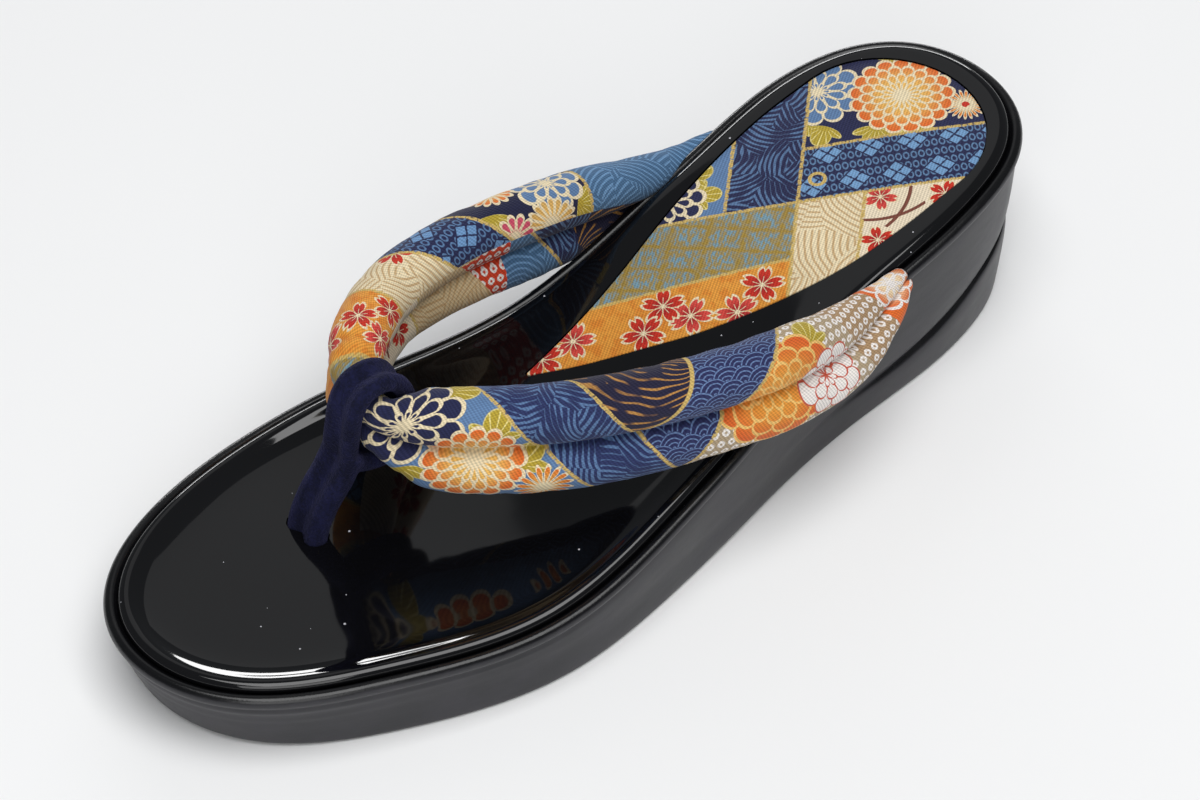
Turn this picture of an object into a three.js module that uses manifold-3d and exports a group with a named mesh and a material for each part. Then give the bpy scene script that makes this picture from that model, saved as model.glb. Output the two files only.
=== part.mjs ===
// A zori sandal for the left foot: a wedge sole with a dished, glossy top board, a cloth inlay
// at the heel, a padded strap and a looped toe thong.
// Millimetres, +Z up. The toe points to -Y, +X is the outer side of the foot, the sole stands on Z = 0.
import * as THREE from "three";
import { mergeVertices } from "three/addons/utils/BufferGeometryUtils.js";
import Module from "manifold-3d";

// ---- driving sizes -----------------------------------------------------------------------------
const LENGTH = 240; // toe to heel, at the widest line of the wall
const GAP = 0.3; // air left between two pieces that touch
const OUTLINE_STEPS = 36; // points along each side of the sole
const BEAD_RADIUS = 1.7; // the rolled upper edge of the wall
const SIDE_DRAFT = 0.8; // how far the wall leans in at its foot, along the sides
const TOE_DRAFT = 4.8; // and at the toe
const HEEL_DRAFT = 4; // and at the heel
const ARCH_HEIGHT = 1.2; // lift of the underside between its two flat spots
const TOE_SPRING = 2.2; // lift of the underside at the tip of the toe
const BOARD_UNDERSIDE = 0; // heights of the board, above the wall's edge line
const DISH_FLOOR = 1.1; // the forefoot lies this low inside the rim
const SHOULDER = 2.9; // the heel's band stays this high
const INLAY_THICKNESS = 0.6;
const THONG_HOLE_FLOOR = 5; // the thong's ends reach down to this height inside the sole

// The outline and the wall's height, at equal turns from the toe (0) to the heel (8).
// inner and outer are half widths of the ellipse that touches the outline at that turn,
// edge is the height of the wall's rolled edge.
const SOLE_SECTIONS = [
  { inner: 62, outer: 62, edge: 17.6 },
  { inner: 55.6, outer: 59.4, edge: 17.2 },
  { inner: 48.1, outer: 55.2, edge: 16.4 },
  { inner: 39.7, outer: 54.7, edge: 16.4 },
  { inner: 25.4, outer: 45.2, edge: 23 },
  { inner: 29.3, outer: 38.8, edge: 33.2 },
  { inner: 43.4, outer: 45.8, edge: 39.4 },
  { inner: 56.6, outer: 56.6, edge: 41.6 },
  { inner: 64, outer: 64, edge: 42 },
];

// The crease between the two tiers of the heel: height and depth along the sole.
const TIER_CREASE = [
  { y: -120, z: 9.5, depth: 0 },
  { y: 30, z: 10.4, depth: 0 },
  { y: 50, z: 9.4, depth: 0.9 },
  { y: 66, z: 9.8, depth: 1.5 },
  { y: 82, z: 12.9, depth: 1.6 },
  { y: 97, z: 17.4, depth: 1.6 },
  { y: 110, z: 20.4, depth: 1.7 },
  { y: 120, z: 21.4, depth: 1.8 },
];

// The board's upper surface across its edge: depth in from the wall's widest line, and height
// above the edge line where the board is dished (forefoot) and where it is a shoulder (heel).
const BOARD_EDGE = [
  { inset: 4.4, dished: BOARD_UNDERSIDE, shoulder: BOARD_UNDERSIDE },
  { inset: 3.5, dished: 0.7, shoulder: 0.7 },
  { inset: 3.7, dished: 2.0, shoulder: 2.0 },
  { inset: 4.4, dished: 2.8, shoulder: 2.8 },
  { inset: 5.4, dished: 3.1, shoulder: 3.2 },
  { inset: 6.5, dished: 2.8, shoulder: 3.2 },
  { inset: 8.0, dished: 2.0, shoulder: 3.1 },
  { inset: 10.0, dished: 1.4, shoulder: 3.0 },
  { inset: 13.0, dished: DISH_FLOOR, shoulder: SHOULDER },
];

// The inlay's two long edges from its tip to where its round heel end starts.
const INLAY_SECTIONS = [
  { y: -9, inner: -7.2, outer: -6.6 },
  { y: 0, inner: -8.2, outer: -0.3 },
  { y: 12, inner: -10, outer: 6.8 },
  { y: 24, inner: -12.6, outer: 13.6 },
  { y: 40, inner: -16.8, outer: 19.8 },
  { y: 56, inner: -20.2, outer: 23.4 },
  { y: 72, inner: -22.4, outer: 24.2 },
  { y: 88, inner: -23, outer: 23.4 },
];
const INLAY_HEEL_RADIUS = 22.6;

// The strap from its front, under the thong, to its tails in the grooves beside the board.
// outer and inner are the centre line's X on each side, and outerZ and innerZ its heights;
// lean tips the strap's top inwards; roll is the radius of its two padded rolls and spread
// half the distance between them. The thong squeezes the first two rows.
const STRAP_SECTIONS = [
  { outer: -1.8, inner: -1.8, y: -55.2, outerZ: 44.9, innerZ: 44.9, lean: 0, roll: 3.7, spread: 3.4 },
  { outer: 3.4, inner: -7.2, y: -54.6, outerZ: 44.7, innerZ: 44.7, lean: 1, roll: 4, spread: 3.7 },
  { outer: 8.6, inner: -13, y: -50.2, outerZ: 43.8, innerZ: 43.8, lean: 4, roll: 6, spread: 5.5 },
  { outer: 14.4, inner: -19.4, y: -43.8, outerZ: 42.8, innerZ: 42.8, lean: 7, roll: 6.6, spread: 6 },
  { outer: 20.8, inner: -25.4, y: -34.8, outerZ: 42, innerZ: 42, lean: 10, roll: 6.6, spread: 6 },
  { outer: 27.8, inner: -28.6, y: -23.9, outerZ: 42, innerZ: 41.8, lean: 10, roll: 6.6, spread: 6 },
  { outer: 34.7, inner: -29.3, y: -9.8, outerZ: 42.3, innerZ: 41.1, lean: 7, roll: 6.6, spread: 6 },
  { outer: 39.1, inner: -28.7, y: 4.9, outerZ: 41.6, innerZ: 39.3, lean: 5, roll: 6.5, spread: 6 },
  { outer: 41.2, inner: -29.2, y: 20.4, outerZ: 39.3, innerZ: 36, lean: 9, roll: 6.3, spread: 5.8 },
  { outer: 39.9, inner: -30.8, y: 38.9, outerZ: 35.6, innerZ: 31.5, lean: 22, roll: 5.2, spread: 4.8 },
  { outer: 36.2, inner: -31.2, y: 54, outerZ: 35, innerZ: 31, lean: 32, roll: 3.5, spread: 2.9 },
  { outer: 32.4, inner: -29.2, y: 65.2, outerZ: 35.6, innerZ: 34.4, lean: 36, roll: 1.8, spread: 1.1 },
];

// The thong's stem, from inside the sole to where it meets the loop.
const STEM_ROUTE = [
  { x: -5.7, y: -70.2, z: THONG_HOLE_FLOOR },
  { x: -5.7, y: -69.8, z: 17 },
  { x: -5, y: -67.2, z: 25 },
  { x: -3.8, y: -63.6, z: 32 },
  { x: -2.8, y: -61.4, z: 38 },
];

// The thong's loop round the front of the strap, from front to top to back to bottom.
const LOOP_ROUTE = [
  { x: -2.8, y: -61.9, z: 38 },
  { x: -2.2, y: -61.6, z: 45 },
  { x: -1.8, y: -60.6, z: 51.2 },
  { x: -1.8, y: -57.6, z: 54.8 },
  { x: -1.8, y: -52.6, z: 55 },
  { x: -1.8, y: -48.9, z: 52 },
  { x: -1.8, y: -46.8, z: 45 },
  { x: -1.9, y: -47.4, z: 37.4 },
  { x: -2.2, y: -52.6, z: 33.9 },
  { x: -2.9, y: -58.6, z: 34.6 },
];
const LOOP_STRAND = { roll: 2.1, spread: 2.7 }; // each of its two strands, and half their distance
const STEM_STRAND = { roll: 2.7, spread: 2.7 };

// ---- small tools -------------------------------------------------------------------------------
const HALF_TURN = Math.PI;
const smoothstep = (low, high, at) => THREE.MathUtils.smoothstep(at, low, high);
const mix = THREE.MathUtils.lerp;

// A smooth curve through one column of a table; at runs from 0 to the last row's number.
function through(rows, column, at) {
  const last = rows.length - 1;
  const row = Math.min(Math.max(Math.floor(at), 0), last - 1);
  const value = (index) => rows[Math.min(Math.max(index, 0), last)][column];
  const before = row > 0 ? value(row - 1) : 2 * value(0) - value(1);
  const after = row < last - 1 ? value(row + 2) : 2 * value(last) - value(last - 1);
  const t = at - row;
  const slopeIn = (value(row + 1) - before) / 2;
  const slopeOut = (after - value(row)) / 2;
  const rise = value(row + 1) - value(row);
  return (
    value(row) +
    slopeIn * t +
    (3 * rise - 2 * slopeIn - slopeOut) * t * t +
    (slopeIn + slopeOut - 2 * rise) * t * t * t
  );
}

// Which place in a table holds this y, counted in rows.
function rowAt(rows, y) {
  for (let i = 1; i < rows.length; i++) {
    if (y <= rows[i].y) return i - 1 + Math.max(0, (y - rows[i - 1].y) / (rows[i].y - rows[i - 1].y));
  }
  return rows.length - 1;
}

// A closed surface through rings that hold the same number of points, drawn anticlockwise
// seen from the end that the rings come from. Flat ends are closed by a fan when capped.
function skin(rings, capped) {
  const around = rings[0].length;
  const points = rings.flat();
  const faces = [];
  for (let k = 0; k < rings.length - 1; k++) {
    for (let i = 0; i < around; i++) {
      const a = k * around + i;
      const b = k * around + ((i + 1) % around);
      faces.push(a, b, b + around, a, b + around, a + around);
    }
  }
  if (capped) {
    const lastStart = (rings.length - 1) * around;
    points.push(middleOf(rings[0]), middleOf(rings.at(-1)));
    for (let i = 0; i < around; i++) {
      const next = (i + 1) % around;
      faces.push(next, i, points.length - 2);
      faces.push(lastStart + i, lastStart + next, points.length - 1);
    }
  }
  const geometry = new THREE.BufferGeometry();
  const flat = points.flatMap((p) => [p.x, p.y, p.z]);
  geometry.setAttribute("position", new THREE.Float32BufferAttribute(flat, 3));
  geometry.setIndex(faces);
  const merged = mergeVertices(geometry, 1e-4);
  const corners = merged.index.array;
  const kept = [];
  for (let i = 0; i < corners.length; i += 3) {
    const [a, b, c] = corners.slice(i, i + 3);
    if (a !== b && b !== c && c !== a) kept.push(a, b, c);
  }
  merged.setIndex(kept);
  return merged;
}

function middleOf(ring) {
  const sum = new THREE.Vector3();
  ring.forEach((p) => sum.add(p));
  return sum.divideScalar(ring.length);
}

const library = await Module();
library.setup();

function toManifold(geometry) {
  return new library.Manifold(
    new library.Mesh({
      numProp: 3,
      vertProperties: new Float32Array(geometry.attributes.position.array),
      triVerts: new Uint32Array(geometry.index.array),
    }),
  );
}

function fromManifold(solid) {
  const mesh = solid.getMesh();
  const geometry = new THREE.BufferGeometry();
  geometry.setAttribute("position", new THREE.BufferAttribute(mesh.vertProperties, 3));
  geometry.setIndex(new THREE.BufferAttribute(mesh.triVerts, 1));
  return geometry;
}

// The first geometry with each of the others cut away from it, and any loose crumb dropped.
function cut(geometry, ...cutters) {
  const solid = cutters.reduce((left, cutter) => left.subtract(toManifold(cutter)), toManifold(geometry));
  return fromManifold(solid.decompose().sort((a, b) => b.volume() - a.volume())[0]);
}

function join(first, second) {
  return fromManifold(toManifold(first).add(toManifold(second)));
}

// ---- the sole's outline and heights ------------------------------------------------------------
const TURNS = SOLE_SECTIONS.length - 1;

function edgeHeight(y) {
  const turn = Math.acos(THREE.MathUtils.clamp((-2 * y) / LENGTH, -1, 1)) / HALF_TURN;
  return through(SOLE_SECTIONS, "edge", turn * TURNS);
}

function undersideHeight(y) {
  const toe = Math.max(0, (-80 - y) / 40);
  const arch = y > -12 && y < 50 ? Math.sin(((y + 12) / 62) * HALF_TURN) ** 2 : 0;
  return TOE_SPRING * toe * toe + ARCH_HEIGHT * arch;
}

// The outline, anticlockwise from the toe round the outer side to the heel and back,
// each point with its outward normal, its draft and its point on the sole's spine.
function soleOutline() {
  const points = [];
  for (let i = 0; i < 2 * OUTLINE_STEPS; i++) {
    const side = i <= OUTLINE_STEPS ? "outer" : "inner";
    const turn = side === "outer" ? i / OUTLINE_STEPS : 2 - i / OUTLINE_STEPS;
    const halfWidth = Math.sin(turn * HALF_TURN) * through(SOLE_SECTIONS, side, turn * TURNS);
    const lengthwise = -Math.cos(turn * HALF_TURN);
    const spineX = spineAt(turn);
    points.push({
      x: side === "outer" ? halfWidth : -halfWidth,
      y: (lengthwise * LENGTH) / 2,
      spine: new THREE.Vector2(spineX, lengthwise * (LENGTH / 2 - 30)),
      draft:
        SIDE_DRAFT +
        (TOE_DRAFT - SIDE_DRAFT) * Math.max(0, -lengthwise) ** 4 +
        (HEEL_DRAFT - SIDE_DRAFT) * Math.max(0, lengthwise) ** 4,
    });
  }
  points.forEach((point, i) => {
    const before = points.at(i - 1);
    const after = points[(i + 1) % points.length];
    point.normal = new THREE.Vector2(after.y - before.y, before.x - after.x).normalize();
  });
  return points;
}

function spineAt(turn) {
  const inner = through(SOLE_SECTIONS, "inner", turn * TURNS);
  const outer = through(SOLE_SECTIONS, "outer", turn * TURNS);
  return (Math.sin(turn * HALF_TURN) * (outer - inner)) / 2;
}

const OUTLINE = soleOutline();

// A ring at one depth in from the outline; heightAt gives its Z from the place it reaches.
function insetRing(insetOf, heightAt) {
  return OUTLINE.map((point) => {
    const inset = insetOf(point);
    const x = point.x - point.normal.x * inset;
    const y = point.y - point.normal.y * inset;
    return new THREE.Vector3(x, y, heightAt(y, point));
  });
}

// Rings that run in from a depth to the spine, the last of them folded flat on the spine itself.
function towardsSpine(inset, shares, heightAt) {
  return shares.map((share) =>
    OUTLINE.map((point) => {
      const x = mix(point.x - point.normal.x * inset, point.spine.x, share);
      const y = mix(point.y - point.normal.y * inset, point.spine.y, share);
      return new THREE.Vector3(x, y, heightAt(y));
    }),
  );
}

// ---- the pieces --------------------------------------------------------------------------------
function soleBody() {
  const creaseAt = (y, column) => through(TIER_CREASE, column, rowAt(TIER_CREASE, y));
  const under = towardsSpine(9, [1, 0.5, 0], undersideHeight);
  const foot = [
    insetRing((p) => p.draft + 1.3, undersideHeight),
    insetRing((p) => p.draft + 0.3, (y) => undersideHeight(y) + 0.4),
    insetRing((p) => p.draft, (y) => undersideHeight(y) + 1.5),
  ];
  const wall = [
    { rise: -2.2, inset: 0.55, share: -0.35 },
    { rise: -0.7, inset: 0.5, share: 0.15 },
    { rise: 0, inset: 0.45, share: 1 },
    { rise: 0.7, inset: 0.4, share: 0.45 },
    { rise: 2.6, inset: 0.35, share: 0 },
  ].map(({ rise, inset, share }) =>
    insetRing(
      (p) => 0.6 + p.draft * inset + share * Math.max(0, creaseAt(p.y, "depth")),
      (_, p) => creaseAt(p.y, "z") + rise,
    ),
  );
  const neck = [
    insetRing(() => 0.9, (_, p) => edgeHeight(p.y) - 3.2),
    insetRing(() => 1.3, (_, p) => edgeHeight(p.y) - 1.8),
  ];
  const bead = [-55, -20, 15, 50, 85, 125].map((degrees) => {
    const angle = THREE.MathUtils.degToRad(degrees);
    return insetRing(
      () => BEAD_RADIUS * (1 - Math.cos(angle)),
      (_, p) => edgeHeight(p.y) + BEAD_RADIUS * Math.sin(angle),
    );
  });
  const seat = (y) => edgeHeight(y) - GAP;
  const top = [insetRing(() => 3.4, seat), ...towardsSpine(12, [0, 0.5, 1], seat)];
  return skin([...under.slice(0, 3), ...foot, ...wall, ...neck, ...bead, ...top], false);
}

// How far the board is a dish (1, forefoot) rather than a shoulder (0, heel).
const dishShare = (y) => 1 - smoothstep(-30, 26, y);

function boardTop(y, row) {
  return edgeHeight(y) + mix(row.shoulder, row.dished, dishShare(y));
}

function topBoard() {
  const underside = (y) => edgeHeight(y) + BOARD_UNDERSIDE;
  const edge = BOARD_EDGE.map((row) => insetRing(() => row.inset, (y) => boardTop(y, row)));
  const floor = towardsSpine(13, [0.33, 0.67, 1], boardFloor);
  return skin([...towardsSpine(12, [1, 0.5, 0], underside), ...edge, ...floor], false);
}

// The inlay's outline, anticlockwise from its tip, grown by some clearance.
function inlayOutline(grow) {
  const side = (column, sign) =>
    INLAY_SECTIONS.slice(0, -1).flatMap((_, row) =>
      [0, 0.5].map((part) => {
        const at = row + part;
        const y = through(INLAY_SECTIONS, "y", at);
        return new THREE.Vector2(through(INLAY_SECTIONS, column, at) + sign * grow, y - (at ? 0 : grow));
      }),
    );
  const heel = [];
  const start = INLAY_SECTIONS.at(-1);
  const middle = (start.inner + start.outer) / 2;
  const halfWidth = (start.outer - start.inner) / 2;
  const arcSteps = 14;
  for (let i = 0; i <= arcSteps; i++) {
    const angle = (i / arcSteps) * HALF_TURN;
    const x = middle + (halfWidth + grow) * Math.cos(angle);
    heel.push(new THREE.Vector2(x, start.y + (INLAY_HEEL_RADIUS + grow) * Math.sin(angle)));
  }
  return [...side("outer", 1), ...heel, ...side("inner", -1).reverse()];
}

const boardFloor = (y) => boardTop(y, BOARD_EDGE.at(-1));

// A sheet that follows the board between two heights measured from the board's floor.
function inlaySheet(grow, low, high) {
  const outline = inlayOutline(grow);
  const spineX = (y) => {
    const at = rowAt(INLAY_SECTIONS, y);
    return (through(INLAY_SECTIONS, "inner", at) + through(INLAY_SECTIONS, "outer", at)) / 2;
  };
  const tip = INLAY_SECTIONS[0].y;
  const heel = INLAY_SECTIONS.at(-1).y;
  const ring = (share, height) =>
    outline.map((p) => {
      const spineY = THREE.MathUtils.clamp(p.y, tip + 6, heel);
      const x = mix(p.x, spineX(spineY), share);
      const y = mix(p.y, spineY, share);
      return new THREE.Vector3(x, y, boardFloor(y) + height);
    });
  const below = [1, 0.5, 0].map((share) => ring(share, low));
  const above = [0, 0.5, 1].map((share) => ring(share, high));
  return skin([...below, ...above], false);
}

function heelInlay() {
  return inlaySheet(0, -INLAY_THICKNESS, 0);
}

function inlayRecess() {
  return inlaySheet(GAP, -INLAY_THICKNESS - GAP, 2);
}

// The section of two rolls side by side with a crease between them: wide is the direction
// from one roll to the other, thick the direction across.
function twoRollRing({ centre, wide, thick, roll, spread, crease }) {
  const ring = [];
  const add = (across, along) =>
    ring.push(centre.clone().addScaledVector(thick, across).addScaledVector(wide, along));
  for (const sign of [1, -1]) {
    for (const degrees of [0, 22, 45, 67, 90, 113, 135, 158, 180]) {
      const angle = THREE.MathUtils.degToRad(degrees);
      add(sign * roll * Math.cos(angle), sign * (spread + roll * Math.sin(angle)));
    }
    add(-sign * (roll - crease), 0);
  }
  return ring;
}

// The same rings with both end rings pushed outwards, for a cutter that leaves air at the ends.
function lengthened(rings, by) {
  if (!by) return rings;
  const pushed = (end, neighbour) => {
    const step = middleOf(end).sub(middleOf(neighbour)).setLength(by);
    return end.map((p) => p.clone().add(step));
  };
  return [pushed(rings[0], rings[1]), ...rings, pushed(rings.at(-1), rings.at(-2))];
}

// The strap's centre line runs from the inner tail round the front to the outer tail.
function strapStations() {
  const last = STRAP_SECTIONS.length - 1;
  const centreAt = (at) => {
    const side = at < 0 ? "inner" : "outer";
    const row = Math.abs(at);
    const x = through(STRAP_SECTIONS, side, row);
    const z = through(STRAP_SECTIONS, side + "Z", row);
    return new THREE.Vector3(x, through(STRAP_SECTIONS, "y", row), z);
  };
  const perRow = 3;
  const controls = [];
  for (let i = -last * perRow; i <= last * perRow; i++) {
    if (Math.abs(i) !== 1) controls.push(i / perRow);
  }
  const curve = new THREE.CatmullRomCurve3(controls.map(centreAt), false, "centripetal");
  return controls.map((at, i) => {
    const share = i / (controls.length - 1);
    const row = Math.abs(at);
    return {
      centre: centreAt(at),
      tangent: curve.getTangent(share),
      lean: THREE.MathUtils.degToRad(through(STRAP_SECTIONS, "lean", row)),
      roll: through(STRAP_SECTIONS, "roll", row),
      spread: through(STRAP_SECTIONS, "spread", row),
    };
  });
}

function hanaoStrap(grow) {
  const up = new THREE.Vector3(0, 0, 1);
  const rings = strapStations().map(({ centre, tangent, lean, roll, spread }) => {
    const outward = tangent.clone().cross(up).normalize();
    const rise = outward.clone().cross(tangent).normalize();
    const wide = rise.clone().multiplyScalar(Math.cos(lean)).addScaledVector(outward, -Math.sin(lean));
    const thick = outward.clone().multiplyScalar(Math.cos(lean)).addScaledVector(rise, Math.sin(lean));
    return twoRollRing({ centre, wide, thick, roll: roll + grow, spread, crease: roll * 0.2 });
  });
  return skin(lengthened(rings.reverse(), grow), true);
}

function thongSweep(route, strand, grow, closed) {
  const steps = 3 * (route.length - 1);
  const points = route.map(({ x, y, z }) => new THREE.Vector3(x, y, z));
  const curve = new THREE.CatmullRomCurve3(points, closed, "centripetal");
  const wide = new THREE.Vector3(1, 0, 0);
  const rings = [];
  for (let i = 0; i <= steps; i++) {
    const share = closed ? (i % steps) / steps : i / steps;
    const thick = wide.clone().cross(curve.getTangentAt(share)).normalize();
    const centre = curve.getPointAt(share);
    const roll = strand.roll + grow;
    rings.push(twoRollRing({ centre, wide, thick, roll, spread: strand.spread, crease: 0.5 }));
  }
  return closed ? skin(rings, false) : skin(lengthened(rings, grow), true);
}

function toeThong(grow) {
  const stem = thongSweep(STEM_ROUTE, STEM_STRAND, grow, false);
  return join(stem, thongSweep(LOOP_ROUTE, LOOP_STRAND, grow, true));
}

// ---- the scene ---------------------------------------------------------------------------------
const MATERIALS = {
  wall: { color: 0x232325, roughness: 0.42, metalness: 0 },
  enamel: { color: 0x0b0b0c, roughness: 0.06, metalness: 0 },
  print: { color: 0x5d7fa6, roughness: 0.85, metalness: 0 },
  patchwork: { color: 0xd98a3a, roughness: 0.85, metalness: 0 },
  velvet: { color: 0x1e1f45, roughness: 0.95, metalness: 0 },
};

function piece(name, geometry, material) {
  const mesh = new THREE.Mesh(geometry, new THREE.MeshStandardMaterial(MATERIALS[material]));
  mesh.name = name;
  return mesh;
}

const strapSlot = hanaoStrap(GAP);
const thongSlot = toeThong(GAP);
const group = new THREE.Group();
group.add(
  piece("sole_body", cut(soleBody(), strapSlot, thongSlot), "wall"),
  piece("top_board", cut(topBoard(), inlayRecess(), strapSlot, thongSlot), "enamel"),
  piece("heel_inlay", heelInlay(), "print"),
  piece("hanao_strap", hanaoStrap(0), "patchwork"),
  piece("toe_thong", toeThong(0), "velvet"),
);

// The frame's origin is under the middle of the whole sandal.
const box = new THREE.Box3().setFromObject(group);
group.position.set(-(box.min.x + box.max.x) / 2, -(box.min.y + box.max.y) / 2, -box.min.z);

export default group;
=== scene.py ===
# %% [markdown]
# # A zori sandal for the left foot
# A zori is built in layers: a wedge sole wrapped in leather, a lacquered board on top of it, a pointed
# piece of printed cloth let into the board's heel, and a padded strap held down by a velvet thong.
# Here each layer is one piece of mesh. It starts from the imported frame, so that every piece has the
# sizes and the place that the CAD gave it. Everything is in metres, with the toe towards -Y.

import math
import bmesh
import bpy
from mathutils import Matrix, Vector, noise


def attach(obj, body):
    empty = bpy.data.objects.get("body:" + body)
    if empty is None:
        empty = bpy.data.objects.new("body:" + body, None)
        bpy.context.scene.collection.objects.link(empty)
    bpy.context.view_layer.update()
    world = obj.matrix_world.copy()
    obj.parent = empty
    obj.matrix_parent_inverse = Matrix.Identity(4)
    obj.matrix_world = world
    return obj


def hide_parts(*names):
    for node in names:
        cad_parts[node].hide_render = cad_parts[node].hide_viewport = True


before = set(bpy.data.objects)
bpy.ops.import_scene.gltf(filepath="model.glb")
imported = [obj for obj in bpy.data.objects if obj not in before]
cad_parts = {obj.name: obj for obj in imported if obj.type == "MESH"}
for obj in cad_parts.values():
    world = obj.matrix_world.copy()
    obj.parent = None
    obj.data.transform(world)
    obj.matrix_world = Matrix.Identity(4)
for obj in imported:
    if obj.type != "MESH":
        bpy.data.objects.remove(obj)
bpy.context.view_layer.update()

# %% [markdown]
# ## The maker's tables
# A last maker draws a sole as a row of sections. These are the same sections that the CAD uses, in
# millimetres. A smooth curve runs through each column, so a few rows give the whole shape.

# %% Sole and board sections
MM = 0.001
SIDE_SHIFT = -6.486  # the tables' middle line lies this far from the frame's
LENGTH = 240
OUTLINE_STEPS = 36
BEAD_RADIUS = 1.7
GAP = 0.3
# inner half width, outer half width and edge height at equal turns from toe to heel
SOLE_SECTIONS = [
    (62, 62, 16.9),
    (55.6, 59.4, 16.6),
    (48.1, 55.2, 16.4),
    (39.7, 54.7, 16.4),
    (25.4, 45.2, 23),
    (29.3, 38.8, 33.2),
    (43.4, 45.8, 39.4),
    (56.6, 56.6, 41.6),
    (64, 64, 42),
]
# y, height and depth of the crease between the heel's two tiers
TIER_CREASE = [
    (-120, 9.5, 0),
    (30, 10.4, 0),
    (50, 9.4, 0.9),
    (66, 9.8, 1.5),
    (82, 12.9, 1.6),
    (97, 17.4, 1.6),
    (110, 20.4, 1.7),
    (120, 21.4, 1.8),
]
# depth in from the wall, then height over the edge where the board is a dish and where it is a shoulder
BOARD_EDGE = [
    (3.9, 0, 0),
    (3.1, 0.7, 0.7),
    (3.2, 1.9, 2.0),
    (3.8, 2.6, 2.8),
    (4.8, 2.9, 3.2),
    (6.0, 2.6, 3.2),
    (7.6, 1.9, 3.1),
    (9.6, 1.4, 3.0),
    (13.0, 1.1, 2.9),
]


def through(rows, column, at):
    """The value of a smooth curve through one column of a table, at a row number with a fraction."""
    last = len(rows) - 1
    row = min(max(math.floor(at), 0), last - 1)

    def value(index):
        return rows[min(max(index, 0), last)][column]

    before = value(row - 1) if row > 0 else 2 * value(0) - value(1)
    after = value(row + 2) if row < last - 1 else 2 * value(last) - value(last - 1)
    part = at - row
    slope_in = (value(row + 1) - before) / 2
    slope_out = (after - value(row)) / 2
    rise = value(row + 1) - value(row)
    bend = 3 * rise - 2 * slope_in - slope_out
    return value(row) + part * (slope_in + part * (bend + part * (slope_in + slope_out - 2 * rise)))


def row_at(rows, y, column=0):
    """Which place in a table holds this y, counted in rows."""
    for index in range(1, len(rows)):
        low, high = rows[index - 1][column], rows[index][column]
        if y <= high:
            return index - 1 + max(0, (y - low) / (high - low))
    return len(rows) - 1


def smooth_share(low, high, at):
    share = min(max((at - low) / (high - low), 0), 1)
    return share * share * (3 - 2 * share)


def edge_height(y):
    turn = math.acos(min(max(-2 * y / LENGTH, -1), 1)) / math.pi
    return through(SOLE_SECTIONS, 2, turn * (len(SOLE_SECTIONS) - 1))


def underside_height(y):
    toe = max(0, (-80 - y) / 40)
    arch = math.sin((y + 12) / 62 * math.pi) ** 2 if -12 < y < 50 else 0
    return 2.2 * toe * toe + 1.2 * arch


def board_height(y, row):
    dished = 1 - smooth_share(-30, 26, y)
    return edge_height(y) + row[2] + (row[1] - row[2]) * dished


def board_floor(y):
    return board_height(y, BOARD_EDGE[-1])


print("edge height at toe, ball and heel", [round(edge_height(y), 1) for y in (-119, -40, 119)])

# %% [markdown]
# ## Rings that grow into a shell
# A shell is lofted here as a potter pulls up a wall: the first ring is a circle whose points are moved
# to the section, and each next ring is that ring extruded and moved. Extruding keeps every point over
# its neighbour below, which bridging two loops wouldn't promise. The curve between rings comes from a
# subdivision surface, so that the rings can stay few.

# %% The sole's outline and a loft by extrusion
def row_frame(x, y, z):
    return Vector(((x + SIDE_SHIFT) * MM, y * MM, z * MM))


def sole_outline():
    """Points round the sole, each with its outward normal, wall draft and place on the spine."""
    points = []
    turns = len(SOLE_SECTIONS) - 1
    for step in range(2 * OUTLINE_STEPS):
        outer = step <= OUTLINE_STEPS
        turn = step / OUTLINE_STEPS if outer else 2 - step / OUTLINE_STEPS
        round_share = math.sin(turn * math.pi)
        inner_width = through(SOLE_SECTIONS, 0, turn * turns) * round_share
        outer_width = through(SOLE_SECTIONS, 1, turn * turns) * round_share
        along = -math.cos(turn * math.pi)
        spine = ((outer_width - inner_width) / 2, along * (LENGTH / 2 - 30))
        draft = 0.8 + 4.0 * max(0, -along) ** 4 + 3.2 * max(0, along) ** 4
        x = outer_width if outer else -inner_width
        points.append({"x": x, "y": along * LENGTH / 2, "spine": spine, "draft": draft})
    for index, point in enumerate(points):
        before, after = points[index - 1], points[(index + 1) % len(points)]
        point["normal"] = Vector((after["y"] - before["y"], before["x"] - after["x"])).normalized()
    return points


OUTLINE = sole_outline()


def ring_at(inset, height, share=0.0):
    """A ring inside the outline, and from there a share of the way to the spine.
    inset is a function of the outline's point, and height is a function of y."""
    ring = []
    for point in OUTLINE:
        x = point["x"] - point["normal"].x * inset(point)
        y = point["y"] - point["normal"].y * inset(point)
        x += (point["spine"][0] - x) * share
        y += (point["spine"][1] - y) * share
        ring.append(row_frame(x, y, height(y)))
    return ring


def loft(rings):
    """A bmesh shell through the rings, made by extruding the first one along them."""
    shell = bmesh.new()
    ring = bmesh.ops.create_circle(shell, segments=len(rings[0]), radius=1)["verts"]
    for vert, place in zip(ring, rings[0]):
        vert.co = place
    for places in rings[1:]:
        edges = [shell.edges.get((ring[i - 1], ring[i])) for i in range(len(ring))]
        grown = bmesh.ops.extrude_edge_only(shell, edges=edges)["geom"]
        fresh = {item for item in grown if isinstance(item, bmesh.types.BMVert)}
        ring = [next(e.other_vert(v) for e in v.link_edges if e.other_vert(v) in fresh) for v in ring]
        for vert, place in zip(ring, places):
            vert.co = place
    return shell


def new_object(name, data):
    made = bpy.data.objects.new(name, data)
    bpy.context.scene.collection.objects.link(made)
    return made


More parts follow.
